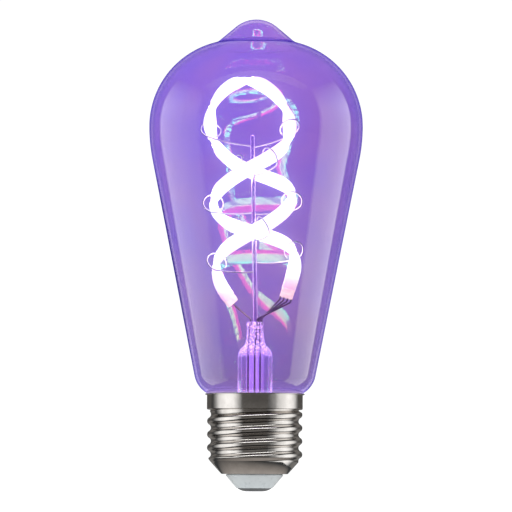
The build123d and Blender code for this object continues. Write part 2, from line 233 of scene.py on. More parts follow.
def spun(*profiles, steps=spin_steps):
    """Round piece from one or more profiles of radius and height, turned about the bulb's axis."""
    shape = bmesh.new()
    for profile in profiles:
        corners = [shape.verts.new((radius, 0, height)) for radius, height in profile]
        for first, second in zip(corners, corners[1:]):
            shape.edges.new((first, second))
    bmesh.ops.spin(
        shape,
        geom=shape.verts[:] + shape.edges[:],
        cent=(0, 0, 0),
        axis=(0, 0, 1),
        angle=tau,
        steps=steps,
        use_merge=True,
    )
    bmesh.ops.remove_doubles(shape, verts=shape.verts, dist=1e-4)
    bmesh.ops.recalc_face_normals(shape, faces=shape.faces)
    return shape


def grown_ring(shape, edges):
    """Extrude a ring of edges where it is; returns its new corners and edges."""
    grown = bmesh.ops.extrude_edge_only(shape, edges=edges)["geom"]
    corners = {item for item in grown if isinstance(item, bmesh.types.BMVert)}
    edges = [
        item
        for item in grown
        if isinstance(item, bmesh.types.BMEdge) and corners.issuperset(item.verts)
    ]
    return list(corners), edges


def swept(section, places, distances):
    """Piece of one section drawn along a line of places, each a matrix with the line along its z.

    Each corner keeps its distance along the line and its place across it as attributes.
    """
    shape = bmesh.new()
    along = shape.verts.layers.float.new("along")
    across = shape.verts.layers.float.new("across")
    ring = [shape.verts.new(places[0] @ Vector((x, y, 0))) for x, y in section]
    for corner, (x, y) in zip(ring, section):
        corner[along] = distances[0]
        corner[across] = x
    edges = [shape.edges.new((first, second)) for first, second in zip(ring, ring[1:] + ring[:1])]
    shape.faces.new(ring)
    for before, after, distance in zip(places, places[1:], distances[1:]):
        corners, edges = grown_ring(shape, edges)
        bmesh.ops.transform(shape, matrix=after @ before.inverted(), verts=corners)
        for corner in corners:
            corner[along] = distance
    bmesh.ops.edgeloop_fill(shape, edges=edges)
    bmesh.ops.recalc_face_normals(shape, faces=shape.faces)
    return shape


def lengths_along(points):
    """Distance of each point from the first one, along the line."""
    steps = [(second - first).length for first, second in zip(points, points[1:])]
    return [0.0, *numpy.cumsum(steps)]


def carried_places(points):
    """Places along a line of points, turned no more than the line itself turns."""
    headings = [(second - first).normalized() for first, second in zip(points, points[1:])]
    tangents = [headings[0]]
    tangents += [(first + second).normalized() for first, second in zip(headings, headings[1:])]
    tangents.append(headings[-1])
    turn = tangents[0].to_track_quat("Z", "Y")
    places = [Matrix.Translation(points[0]) @ turn.to_matrix().to_4x4()]
    for point, before, after in zip(points[1:], tangents, tangents[1:]):
        turn = before.rotation_difference(after) @ turn
        places.append(Matrix.Translation(point) @ turn.to_matrix().to_4x4())
    return places


def round_section(radius, sides=12):
    """Section of a round wire."""
    angles = [tau * side / sides for side in range(sides)]
    return [(radius * cos(angle), radius * sin(angle)) for angle in angles]


def eased(points, reach, steps=6):
    """Route of a bent wire: straight runs, with each corner rounded over the reach."""
    route = [points[0]]
    for before, corner, after in zip(points, points[1:], points[2:]):
        start = corner + (before - corner).normalized() * reach
        end = corner + (after - corner).normalized() * reach
        for step in range(steps + 1):
            share = step / steps
            route.append(start.lerp(corner, share).lerp(corner.lerp(end, share), share))
    route.append(points[-1])
    return route


def finished(name, shape, material, slot, *nodes, sharp=40.0):
    """Piece of the bulb from a shape in millimetres, which stands for the named nodes."""
    bmesh.ops.scale(shape, vec=(MM, MM, MM), verts=shape.verts)
    mesh = bpy.data.meshes.new(name)
    shape.to_mesh(mesh)
    shape.free()
    mesh.shade_smooth()
    mesh.set_sharp_from_angle(angle=radians(sharp))
    mesh.materials.append(material)
    piece = bpy.data.objects.new(name, mesh)
    bpy.context.scene.collection.objects.link(piece)
    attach(piece, "root")
    if nodes:
        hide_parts(*nodes)
    return piece


# Materials


def add(tree, kind, inputs=None, **settings):
    """New node with its settings, and its inputs set to values or joined to other nodes."""
    made = tree.nodes.new(kind)
    for name, value in settings.items():
        setattr(made, name, value)
    for name, value in (inputs or {}).items():
        if isinstance(value, bpy.types.NodeSocket):
            tree.links.new(value, made.inputs[name])
        else:
            made.inputs[name].default_value = value
    return made


def new_material(name, **constants):
    """Material with a Principled shader, its plain values set on the shader itself."""
    material = bpy.data.materials.new(name)
    material.use_nodes = True
    tree = material.node_tree
    shader = tree.nodes["Principled BSDF"]
    for socket, value in constants.items():
        shader.inputs[socket.replace("_", " ")].default_value = value
    return material, tree, shader


def ramp(tree, factor, *stops):
    """Colour ramp on a factor, with stops of place and colour."""
    made = add(tree, "ShaderNodeValToRGB", {"Fac": factor})
    elements = made.color_ramp.elements
    while len(elements) < len(stops):
        elements.new(0.5)
    for element, (place, colour) in zip(elements, stops):
        element.position = place
        element.color = (*colour, 1.0)
    return made.outputs["Color"]


def share_of(tree, value, low, high):
    """Place of a value between two limits, from 0 to 1."""
    limits = {"Value": value, "From Min": low, "From Max": high}
    return add(tree, "ShaderNodeMapRange", limits).outputs["Result"]


def between(tree, share, low, high):
    """Value between two limits, at a share from 0 to 1."""
    limits = {"Value": share, "To Min": low, "To Max": high}
    return add(tree, "ShaderNodeMapRange", limits).outputs["Result"]


def calculated(tree, operation, first, second):
    """Value worked out from two others."""
    return add(tree, "ShaderNodeMath", {0: first, 1: second}, operation=operation).outputs["Value"]


def own_place(tree):
    """Place on the piece itself."""
    return add(tree, "ShaderNodeTexCoord").outputs["Object"]


def taken_apart(tree, place):
    """The x, y and z of a place."""
    return add(tree, "ShaderNodeSeparateXYZ", {"Vector": place}).outputs


def grain_group():
    """Mottled grain for any surface: a value between two limits, and a height for bump."""
    group = bpy.data.node_groups.new("surface_grain", "ShaderNodeTree")
    sockets = group.interface
    for name, default in (("Scale", 800.0), ("Low", 0.2), ("High", 0.4)):
        socket = sockets.new_socket(name, in_out="INPUT", socket_type="NodeSocketFloat")
        socket.default_value = default
    for name in ("Value", "Height"):
        sockets.new_socket(name, in_out="OUTPUT", socket_type="NodeSocketFloat")
    given = group.nodes.new("NodeGroupInput")
    noise = add(
        group,
        "ShaderNodeTexNoise",
        {"Vector": own_place(group), "Scale": given.outputs["Scale"], "Detail": 5.0},
    )
    spread = add(
        group,
        "ShaderNodeMapRange",
        {
            "Value": noise.outputs["Fac"],
            "From Min": 0.3,
            "From Max": 0.7,
            "To Min": given.outputs["Low"],
            "To Max": given.outputs["High"],
        },
    )
    result = group.nodes.new("NodeGroupOutput")
    group.links.new(spread.outputs["Result"], result.inputs["Value"])
    group.links.new(noise.outputs["Fac"], result.inputs["Height"])
    return group


surface_grain = grain_group()


def roughened(tree, shader, grain, strength):
    """Raise a surface by its grain."""
    bump = {"Height": grain.outputs["Height"], "Strength": strength, "Distance": MM}
    raised = add(tree, "ShaderNodeBump", bump)
    tree.links.new(raised.outputs["Normal"], shader.inputs["Normal"])


def grained(tree, shader, scale, low, high, bump=0.0):
    """Give a shader a grained roughness, and a bump if it has one; returns the grain."""
    grain = add(tree, "ShaderNodeGroup", node_tree=surface_grain)
    grain.inputs["Scale"].default_value = scale
    grain.inputs["Low"].default_value = low
    grain.inputs["High"].default_value = high
    tree.links.new(grain.outputs["Value"], shader.inputs["Roughness"])
    if bump:
        roughened(tree, shader, grain, bump)
    return grain


def plain_finish(name, dark, light, scale, low, high, bump=0.0, **constants):
    """Finish whose colour and roughness vary between two limits with the grain."""
    material, tree, shader = new_material(name, **constants)
    grain = grained(tree, shader, scale, low, high, bump)
    colour = ramp(tree, grain.outputs["Height"], (0.35, dark), (0.65, light))
    tree.links.new(colour, shader.inputs["Base Color"])
    return material


def blended(tree, kind, factor, first, second):
    """Mix of two colours."""
    inputs = {"Factor": factor, "A": first, "B": second}
    made = add(tree, "ShaderNodeMix", inputs, data_type="RGBA", blend_type=kind)
    return made.outputs["Result"]


def grey(value):
    """Neutral colour of a value."""
    return (value, value, value)


def turned_away(tree):
    """Share from 0 where a surface faces the eye to 1 where it is seen along itself."""
    return add(tree, "ShaderNodeLayerWeight", {"Blend": 0.5}).outputs["Facing"]


def painted_bright_edges(tree, start, end):
    """Share from 0 where glass faces the eye to 1 where it turns away, to place painted bright edges."""
    return ramp(tree, turned_away(tree), (start, grey(0.0)), (end, grey(1.0)))


def envelope_finish():
    """Clear glass with the lamp's violet light painted into it: painted shade deeper at its outline and
    darker on its right, greyer and with a painted glow at its foot.
    """
    material, tree, shader = new_material(
        "clear_glass",
        Roughness=0.0,
        IOR=1.5,
        Transmission_Weight=1.0,
        Emission_Strength=0.25,
    )
    turned = turned_away(tree)
    sheen = ramp(tree, turned, (0.7, (0.85, 0.92, 0.4)), (0.86, (0.6, 0.5, 0.8)))
    tree.links.new(sheen, shader.inputs["Specular Tint"])
    place = own_place(tree)
    apart = taken_apart(tree, place)
    height = share_of(tree, apart["Z"], cap_top * MM, bulb_top * MM)
    # Painted light: the lamp's violet is painted into the glass colour, darker and greyer towards the foot.
    tint = ramp(
        tree,
        height,
        (0.0, (0.46, 0.36, 0.66)),
        (0.25, (0.55, 0.41, 0.76)),
        (0.65, (0.54, 0.37, 0.83)),
        (1.0, (0.60, 0.42, 0.88)),
    )
    # Painted shade: the glass is painted a little bluer on its left and darker on its right.
    lean = ramp(
        tree,
        share_of(tree, apart["X"], -widest_radius * MM, widest_radius * MM),
        (0.0, (0.96, 1.0, 1.0)),
        (0.6, (1.0, 0.98, 0.97)),
        (1.0, (0.92, 0.93, 0.9)),
    )
    # Painted shade: where the glass turns away from the eye its outline is painted deeper violet.
    rim = ramp(tree, turned, (0.73, grey(1.0)), (0.83, (0.42, 0.38, 0.76)))
    clouds = add(tree, "ShaderNodeTexNoise", {"Vector": place, "Scale": 70.0, "Detail": 1.0})
    shade = ramp(tree, clouds.outputs["Fac"], (0.35, (0.9, 0.93, 1.0)), (0.65, (1.0, 0.99, 0.96)))
    for layer in (tint, lean, rim):
        shade = blended(tree, "MULTIPLY", 1.0, shade, layer)
    tree.links.new(shade, shader.inputs["Base Color"])
    # Painted glow: the foot of the glass gives off a faint lilac light, standing in for lamp light carried
    # down the wall.
    painted_glow = ramp(tree, height, (0.0, (0.7, 0.6, 0.8)), (0.005, (0.3, 0.22, 0.45)), (0.012, grey(0.0)))
    tree.links.new(painted_glow, shader.inputs["Emission Color"])
    # Painted light: violet absorption inside the glass adds to the lamp's violet painted into it.
    volume = add(tree, "ShaderNodeVolumeAbsorption", {"Color": (0.6, 0.5, 0.9, 1.0), "Density": 15.0})
    tree.links.new(volume.outputs["Volume"], tree.nodes["Material Output"].inputs["Volume"])
    return material


def stem_finish():
    """Drawn glass with painted bright edges, melted and with painted sparkle where it is pinched round the
    leads.
    """
    material, tree, shader = new_material(
        "stem_glass",
        Base_Color=(0.95, 0.9, 1.0, 1.0),
        IOR=1.45,
        Transmission_Weight=1.0,
        Emission_Strength=1.0,
    )
    grain = grained(tree, shader, 1600.0, 0.0, 0.06)
    apart = taken_apart(tree, own_place(tree))
    melted = share_of(tree, apart["Z"], dome_foot * MM, (dome_foot + melt_rise) * MM)
    roughened(tree, shader, grain, melted)
    # Painted highlights: glinting spots on the melted glass and dotted bright edges are given off as
    # emission.
    spots = ramp(tree, grain.outputs["Height"], (0.53, grey(0.0)), (0.56, grey(1.0)))
    painted_sparkle = blended(tree, "MULTIPLY", 1.0, spots, melted)
    dotted = blended(tree, "MULTIPLY", 0.6, painted_bright_edges(tree, 0.5, 0.8), spots)
    painted_highlight_lines = blended(tree, "LIGHTEN", 1.0, painted_sparkle, dotted)
    colour = blended(tree, "MIX", painted_highlight_lines, (0.02, 0.01, 0.03, 1.0), (0.95, 0.72, 1.0, 1.0))
    tree.links.new(colour, shader.inputs["Emission Color"])
    return material


def exhaust_finish():
    """Drawn glass with the lilac of the lit strip painted on it as a glow in long streaks."""
    material, tree, shader = new_material(
        "exhaust_glass",
        Base_Color=(0.92, 0.86, 1.0, 1.0),
        Roughness=0.02,
        IOR=1.45,
        Transmission_Weight=1.0,
        Emission_Strength=0.26,
    )
    stretch = {0: own_place(tree), 1: (1.0, 1.0, 0.05)}
    drawn = add(tree, "ShaderNodeVectorMath", stretch, operation="MULTIPLY").outputs["Vector"]
    noise = add(tree, "ShaderNodeTexNoise", {"Vector": drawn, "Scale": 900.0, "Detail": 3.0})
    # Painted glow: streaked emission stands for the strip's light carried along the tube.
    painted_glow = ramp(tree, noise.outputs["Fac"], (0.4, (0.3, 0.14, 0.5)), (0.6, (1.0, 0.68, 1.0)))
    tree.links.new(painted_glow, shader.inputs["Emission Color"])
    return material


def pillar_finish():
    """Thin glass rod with two painted bright edges."""
    material, tree, shader = new_material(
        "pillar_glass",
        IOR=1.4,
        Transmission_Weight=1.0,
        Emission_Strength=1.15,
    )
    grain = grained(tree, shader, 900.0, 0.0, 0.1)
    tint = ramp(tree, grain.outputs["Height"], (0.3, (0.62, 0.5, 0.8)), (0.7, (0.75, 0.64, 0.9)))
    tree.links.new(tint, shader.inputs["Base Color"])
    # Painted highlights: the rod's edges glow and its core stays dark.
    edges = painted_bright_edges(tree, 0.3, 0.6)
    colour = blended(tree, "MIX", edges, (0.03, 0.01, 0.03, 1.0), (1.0, 0.75, 0.95, 1.0))
    tree.links.new(colour, shader.inputs["Emission Color"])
    return material


def lit_strip(length):
    """Soft coat over two rows of chips: a broad row of green dashes, and a red row that runs together.

    To the eye the coat is too bright for these colours to show, but its mirror images in the glass have them.
    """
    material, tree, shader = new_material("lit_strip", Base_Color=(0.9, 0.88, 0.95, 1.0), Roughness=0.45)
    ray = add(tree, "ShaderNodeLightPath").outputs
    mirrored = calculated(tree, "MULTIPLY", ray["Is Reflection Ray"], ray["Is Singular Ray"])
    across = add(tree, "ShaderNodeAttribute", attribute_name="across").outputs["Fac"]
    along = add(tree, "ShaderNodeAttribute", attribute_name="along").outputs["Fac"]
    width = share_of(tree, across, -strip_width / 2, strip_width / 2)
    rows = ramp(
        tree,
        width,
        (0.0, (0.05, 0.5, 0.25)),
        (0.14, (0.44, 1.0, 0.36)),
        (0.54, (0.50, 1.0, 0.36)),
        (0.62, (0.3, 0.2, 0.15)),
        (0.69, (0.14, 0.0, 0.03)),
        (1.0, (0.11, 0.0, 0.03)),
    )
    step = calculated(tree, "PINGPONG", along, chip_pitch / 2)
    share = share_of(tree, step, 0.0, chip_pitch / 2)
    dash = ramp(tree, share, (0.3, grey(0.08)), (0.45, grey(1.0)))
    dashed = ramp(tree, width, (0.53, grey(1.0)), (0.63, grey(0.0)))
    chips = blended(tree, "MULTIPLY", 1.0, rows, blended(tree, "MIX", dashed, (1, 1, 1, 1), dash))
    coat = ramp(
        tree,
        width,
        (0.0, (0.7, 1.0, 0.52)),
        (0.3, (0.82, 1.0, 0.5)),
        (0.7, (0.82, 1.0, 0.5)),
        (1.0, (0.85, 0.85, 0.5)),
    )
    tint = blended(tree, "MIX", mirrored, coat, chips)
    from_end = calculated(tree, "PINGPONG", along, length / 2)
    tail = share_of(tree, from_end, 0.0, strip_fade)
    faded = ramp(tree, tail, (0.0, (0.6, 0.34, 0.4)), (0.5, (0.75, 0.58, 0.52)), (1.0, grey(1.0)))
    tree.links.new(blended(tree, "MULTIPLY", 1.0, tint, faded), shader.inputs["Emission Color"])
    in_wire = between(tree, ray["Is Reflection Ray"], strip_strength, strip_wire_strength)
    strength = between(tree, mirrored, in_wire, strip_mirrored_strength)
    tree.links.new(strength, shader.inputs["Emission Strength"])
    return material


envelope_glass = envelope_finish()
stem_glass = stem_finish()
exhaust_glass = exhaust_finish()
pillar_glass = pillar_finish()
# Metal ends of the strip with a painted glow: their emission stands for the strip's light falling on them.
painted_glow_end_metal = plain_finish(
    "strip_end",
    (0.75, 0.3, 0.35),
    (1.0, 0.9, 0.55),
    900.0,
    0.3,
    0.5,
    Emission_Color=(1.0, 0.95, 0.55, 1.0),
    Emission_Strength=1.6,
)
# Other finishes: dark and light colour, size of grain, least and greatest roughness, and bump
metal_looks = {
    "support_wire": ((0.36, 0.31, 0.42), (0.48, 0.42, 0.54), 2500.0, 0.25, 0.4),
    "lead_wire": ((0.16, 0.10, 0.20), (0.28, 0.2, 0.32), 2500.0, 0.3, 0.45),
    "nickel_plate": ((0.66, 0.63, 0.60), (0.74, 0.71, 0.68), 420.0, 0.08, 0.15, 0.02),
    "contact_metal": ((0.20, 0.20, 0.21), (0.28, 0.28, 0.29), 700.0, 0.25, 0.45, 0.05),
    "hookup_wire": ((0.6, 0.45, 0.3), (0.75, 0.6, 0.45), 1500.0, 0.25, 0.4),
}
other_looks = {
    "insulator": ((0.47, 0.50, 0.51), (0.50, 0.53, 0.54), 600.0, 0.25, 0.35, 0.01),
    "cement": ((0.58, 0.53, 0.44), (0.74, 0.70, 0.60), 900.0, 0.8, 0.95, 0.3),
    "circuit_board": ((0.02, 0.10, 0.04), (0.04, 0.16, 0.07), 500.0, 0.35, 0.5),
    "capacitor_can": ((0.02, 0.02, 0.05), (0.04, 0.04, 0.09), 400.0, 0.3, 0.4),
    "ferrite": ((0.05, 0.05, 0.05), (0.09, 0.09, 0.09), 1500.0, 0.6, 0.8, 0.2),
    "moulded_package": ((0.02, 0.02, 0.02), (0.04, 0.04, 0.04), 2000.0, 0.5, 0.7, 0.1),
    "resistor_coat": ((0.10, 0.20, 0.16), (0.16, 0.28, 0.22), 800.0, 0.3, 0.45),
}
finishes = {slot: plain_finish(slot, *look, Metallic=1.0) for slot, look in metal_looks.items()}
finishes |= {slot: plain_finish(slot, *look) for slot, look in other_looks.items()}

# Glass envelope


def envelope_line(inset):
    """Profile of the glass from the nub to the foot of the neck, at a depth below its outer face."""
    nub_centre = (0, bulb_top - nub_radius)
    shoulder_centre = Vector((widest_radius - shoulder_radius, widest_height))
    belly_centre = (widest_radius - belly_radius, widest_height)
    away = Vector((cos(radians(nub_cone_angle)), sin(radians(nub_cone_angle))))
    down = Vector((away.y, -away.x))
    start = Vector(nub_centre) + away * (nub_radius + nub_fillet) - shoulder_centre
    middle = start.dot(down)
    run = -middle - sqrt(middle**2 - start.length_squared + (shoulder_radius + nub_fillet) ** 2)
    fillet_centre = start + down * run + shoulder_centre
    lean = fillet_centre - shoulder_centre
    shoulder_start = degrees(atan2(lean.y, lean.x))
    belly_foot = arc(belly_centre, belly_radius, 0, -taper_angle)[-1]
    taper_slope = sin(radians(taper_angle)) / cos(radians(taper_angle))
    taper_radius = belly_foot[0] - (belly_foot[1] - taper_foot) * taper_slope
    foot_centre = (
        taper_radius - foot_radius * cos(radians(taper_angle)),
        taper_foot + foot_radius * sin(radians(taper_angle)),
    )
    foot_turn = degrees(acos((neck_radius + neck_fillet - foot_centre[0]) / (foot_radius + neck_fillet)))
    bend_centre = arc(foot_centre, foot_radius + neck_fillet, -foot_turn, -foot_turn, 1)[0]
    return [
        *arc(nub_centre, nub_radius - inset, 90, nub_cone_angle),
        *arc(fillet_centre, nub_fillet + inset, nub_cone_angle + 180, shoulder_start + 180),
        *arc(shoulder_centre, shoulder_radius - inset, shoulder_start, 0, 32),
        *arc(belly_centre, belly_radius - inset, 0, -taper_angle)[1:],
        *arc(foot_centre, foot_radius - inset, -taper_angle, -foot_turn),
        *arc(bend_centre, neck_fillet + inset, 180 - foot_turn, 180, 8)[1:],
        (neck_radius - inset, neck_foot),
    ]


glass_lines = envelope_line(0) + envelope_line(glass_wall)[::-1]
finished("blown_glass", spun(glass_lines), envelope_glass, "clear_glass", "glass_envelope", sharp=60.0)

# Stem, exhaust tube and pillar


def stem_shape():
    """Flared tube with a domed top that is pinched flat round the leads, hollow up to its ceiling."""
    flare_top = neck_foot + flare_band + flare_rise
    dome_centre = (stem_radius - dome_radius, dome_foot)
    outside = [
        (flare_radius, neck_foot),
        (flare_radius, neck_foot + flare_band),
        *arc(
            (stem_radius + flare_fillet, flare_top + flare_fillet_rise),
            flare_fillet,
            180 + flare_turn,
            180,
            8,
        ),
        *arc(dome_centre, dome_radius, 0, dome_turn),
    ]
    inside = [
        (0, stem_ceiling),
        *arc(dome_centre, dome_radius - glass_wall, dome_turn, 0),
        (stem_radius - glass_wall, flare_top),
        (flare_radius - glass_wall, neck_foot + flare_band),
        (flare_radius - glass_wall, neck_foot),
        (flare_radius, neck_foot),
    ]
    shape = spun(outside, inside, steps=96)
    crown_radius, crown_height = outside[-1]
    edges = [edge for edge in shape.edges if edge.is_boundary and edge.verts[0].co.z > dome_foot]
    before = (crown_radius, crown_radius, crown_height)
    for rise, wide, deep in press_rings:
        corners, edges = grown_ring(shape, edges)
        height = crown_height + rise
        bmesh.ops.scale(shape, vec=(wide / before[0], deep / before[1], 1), verts=corners)
        bmesh.ops.translate(shape, vec=(0, 0, height - before[2]), verts=corners)
        before = (wide, deep, height)
    bmesh.ops.edgeloop_fill(shape, edges=edges)
    bmesh.ops.recalc_face_normals(shape, faces=shape.faces)
    return shape


finished("drawn_stem", stem_shape(), stem_glass, "stem_glass", "glass_stem", sharp=60.0)

exhaust_bore = exhaust_radius - exhaust_wall
exhaust_line = [
    *arc((0, exhaust_foot + exhaust_radius), exhaust_radius, 270, 360),
    (exhaust_radius, stem_ceiling),
    (exhaust_bore, stem_ceiling),
    (exhaust_bore, exhaust_foot + exhaust_radius),
    (0, exhaust_foot + exhaust_radius),
]
finished("drawn_exhaust_tube", spun(exhaust_line, steps=64), exhaust_glass, "stem_glass", "exhaust_tube")

pillar_place = Matrix.Translation((0, 0, press_top)) @ Matrix.Rotation(-pillar_lean, 4, "Y")
spiral_place = Matrix.Translation((spiral_offset, 0, press_top)) @ Matrix.Rotation(-spiral_lean, 4, "Y")
pillar_length = (pillar_top - press_top) / cos(pillar_lean)
pillar_line = [(0, 0), (pillar_radius, 0), *arc((0, pillar_length - pillar_radius), pillar_radius, 0, 90)]
pillar = spun(pillar_line, steps=32)
bmesh.ops.transform(pillar, matrix=pillar_place, verts=pillar.verts)
finished("drawn_pillar", pillar, pillar_glass, "stem_glass", "pillar_rod")

# Filament strip


def smooth_through(places, values):
    """Evenly bending curve through values at places: a function of place giving value, slope and bend."""
    places = numpy.array(places, float)
    values = numpy.array(values, float)
    gaps = numpy.diff(places)
    slopes = numpy.diff(values) / gaps
    size = len(places)
    system = numpy.zeros((size, size))
    right_side = numpy.zeros(size)
    system[0, :3] = gaps[1], -gaps[0] - gaps[1], gaps[0]
    system[-1, -3:] = gaps[-1], -gaps[-2] - gaps[-1], gaps[-2]
    for row in range(1, size - 1):
        system[row, row - 1 : row + 2] = gaps[row - 1], 2 * (gaps[row - 1] + gaps[row]), gaps[row]
        right_side[row] = 6 * (slopes[row] - slopes[row - 1])
    bends = numpy.linalg.solve(system, right_side)

    def at(place):
        span = int(numpy.clip(numpy.searchsorted(places, place) - 1, 0, size - 2))
        gap = gaps[span]
        after = (place - places[span]) / gap
        before = 1 - after
        low, high = bends[span], bends[span + 1]
        value = before * values[span] + after * values[span + 1]
        value += ((before**3 - before) * low + (after**3 - after) * high) * gap**2 / 6
        slope = slopes[span] + ((3 * after**2 - 1) * high - (3 * before**2 - 1) * low) * gap / 6
        return value, slope, before * low + after * high

    return at


def strand_heights(strand):
    """Height of a strand as a function of its turn down from the crown, and its last turn."""
    turns = [level_turn * number for number in range(len(strand["levels"]))]
    last_turn = turns[-1] + strand["tail_turn"]
    return smooth_through([*turns, last_turn], [*strand["levels"], strand["tail_level"]]), last_turn


def wrap(radius, turn, height, side):
    """Point on the spiral: side 0 starts at +X, side 180 at -X, and turns run clockwise."""
    angle = radians(side - turn)
    return spiral_place @ Vector((radius * cos(angle), radius * sin(angle), height))


def strand_points(strand):
    """Points up one side of the spiral, from its tail to just short of the crown."""
    heights, last_turn = strand_heights(strand)
    top_level = strand["levels"][0]
    points = []
    for step in range(points_per_strand):
        turn = last_turn * (1 - step / (points_per_strand - 1))
        points.append(wrap(spiral_radius, turn, heights(turn)[0], strand["side"]))
    for step in range(1, points_per_crown_side):
        share = step / points_per_crown_side
        radius = spiral_radius * cos(radians(90 * share))
        height = top_level + (crown_rise - top_level) * sin(radians(90 * share))
        points.append(wrap(radius, -crown_twist * share, height, strand["side"]))
    return points


filament_points = [
    *strand_points(strands["right"]),
    wrap(0, 0, crown_rise, 0),
    *reversed(strand_points(strands["left"])),
]
filament_places = lengths_along(filament_points)
filament_axes = [
    smooth_through(filament_places, [point[axis] for point in filament_points]) for axis in range(3)
]
filament_length = filament_places[-1]


def strip_place(distance, turned_back=False):
    """Place on the strip's line: x across the strip, y towards its outer face and z along the line."""
    coordinates = [axis(distance) for axis in filament_axes]
    point = Vector([value for value, slope, bend in coordinates])
    heading = Vector([slope for value, slope, bend in coordinates]).normalized()
    inwards = Vector([bend for value, slope, bend in coordinates])
    inwards = (inwards - heading * inwards.dot(heading)).normalized()
    if turned_back:
        heading = -heading
    outwards = -inwards
    sideways = outwards.cross(heading)
    turn = Matrix((sideways, outwards, heading)).transposed()
    return Matrix.Translation(point) @ turn.to_4x4()


def soft_section(width, thickness, steps=20, roundness=0.45):
    """Section of the strip: a flat bar with well rounded edges."""
    corners = []
    for step in range(steps):
        angle = tau * step / steps
        x = abs(cos(angle)) ** roundness * (1 if cos(angle) >= 0 else -1)
        y = abs(sin(angle)) ** roundness * (1 if sin(angle) >= 0 else -1)
        corners.append((x * width / 2, y * thickness / 2))
    return corners


strip_finish = lit_strip(filament_length)
strip_distances = [filament_length * step / strip_rings for step in range(strip_rings + 1)]
strip_places = [strip_place(distance) for distance in strip_distances]
strip = swept(soft_section(strip_width, strip_thickness), strip_places, strip_distances)
finished("glowing_strip", strip, strip_finish, "lit_strip", "led_filament")

chips = bmesh.new()
chip_along = chips.verts.layers.float.new("along")
chip_across = chips.verts.layers.float.new("across")
chip_block = Matrix.Diagonal((chip_width, chip_height, chip_length, 1))
chip_count = int((filament_length - 2 * strip_fade) / chip_pitch)
for number in range(chip_count):
    distance = strip_fade + (number + 0.5) * chip_pitch
    for row in chip_rows:
        seat = strip_place(distance) @ Matrix.Translation((row, strip_thickness / 2, 0))
        for corner in bmesh.ops.create_cube(chips, size=1.0, matrix=seat @ chip_block)["verts"]:
            corner[chip_along] = distance
            corner[chip_across] = row
finished("strip_chips", chips, strip_finish, "lit_strip", sharp=20.0)

end_places = {"right": strip_place(0, turned_back=True), "left": strip_place(filament_length)}
for side, place in end_places.items():
    distances = [strip_end_length * share for share in strip_end_shares]
    steps = [place @ Matrix.Translation((0, 0, distance)) for distance in distances]
    end = swept(soft_section(strip_end_width, strip_end_thickness), steps, distances)
    finished(f"strip_end_{side}", end, painted_glow_end_metal, "strip_end", f"filament_end_{side}")

# Support wires


def support_route(strand, turn, drop):
    """Route of a support: an easy bend up from the pillar that runs on into a ring round the strip."""
    heights = strand_heights(strand)[0]
    height = heights(turn)[0]
    seat = pillar_place @ Vector((0, 0, height - drop))
    held = wrap(spiral_radius, turn, height, strand["side"])
    above = wrap(spiral_radius, turn - 1, heights(turn - 1)[0], strand["side"])
    reach = held - seat
    outwards = reach.normalized()
    along = above - held
    across = (outwards * along.dot(outwards) - along).normalized()
    upwards = across.cross(outwards)
    heading = outwards * cos(support_dip) - upwards * sin(support_dip)
    rising = across.cross(heading)
    sag = reach.length * sin(support_dip) - ring_radius
    bend_radius = (reach.length**2 - ring_radius**2) / (2 * sag)
    bend_turn = asin(reach.length * cos(support_dip) / (bend_radius - ring_radius))
    bend_start = pillar_radius / bend_radius
    bend_centre = seat + rising * bend_radius

    def round_stretch(centre, radius, start, end, steps):
        angles = [start + (end - start) * step / steps for step in range(steps + 1)]
        return [centre + (heading * sin(angle) - rising * cos(angle)) * radius for angle in angles]

    ring_end = bend_turn + radians(support_ring_arc)
    return [
        *round_stretch(bend_centre, bend_radius, bend_start, bend_turn, support_bend_steps)[:-1],
        *round_stretch(held, ring_radius, bend_turn, ring_end, support_ring_steps),
    ]


for side, turns in support_turns.items():
    for number, (turn, drop) in enumerate(zip(turns, support_drops), start=1):
        route = support_route(strands[side], turn, drop)
        wire = swept(round_section(support_radius), carried_places(route), lengths_along(route))
        node = f"support_{side}_{number}"
        finished(f"bent_{node}", wire, finishes["support_wire"], "support_wire", node)

# Leads

for lead_name, (wide, deep, stem_angle, end_step) in lead_table.items():
    end = end_places["left" if lead_name == "lead_common" else "right"]
    face = end @ Vector((end_step * lead_pitch, 0, strip_end_length))
    exit_point = end @ Vector((end_step * lead_pitch, 0, strip_end_length + lead_exit))
    press_point = Vector((wide * press_half_width, deep * press_half_depth, press_top))
    stem_point = Vector(
        (
            lead_circle_radius * cos(radians(stem_angle)),
            lead_circle_radius * sin(radians(stem_angle)),
            stem_ceiling - lead_straight,
        )
    )
    above_press = press_point + (press_point - stem_point).normalized() * lead_straight
    foot = Vector((stem_point.x, stem_point.y, board_foot - lead_stub))
    route = eased([face, exit_point, above_press, stem_point, foot], lead_bend)
    wire = swept(round_section(lead_radius), carried_places(route), lengths_along(route))
    finished(f"bent_{lead_name}", wire, finishes["lead_wire"], "lead_wire", lead_name)

# Screw cap


def knuckle(height, angle):
    """Rise of the rolled thread at a height and an angle: round crests that run into round grooves."""
    depth = thread_crest_radius - thread_root_radius
    bend = (thread_pitch**2 / 4 + depth**2) / (4 * depth)
    phase = (height - thread_start) / thread_pitch - angle / tau
    away = abs(phase - round(phase)) * thread_pitch
    if away < thread_pitch / 4:
        rise = depth - bend + sqrt(bend**2 - away**2)
    else:
        rise = bend - sqrt(bend**2 - (thread_pitch / 2 - away) ** 2)
    run_in = min(1.0, max(0.0, (height - thread_foot) / thread_run_in))
    run_out = min(1.0, max(0.0, (collar_foot - height) / thread_run_out))
    return rise * run_in * run_out


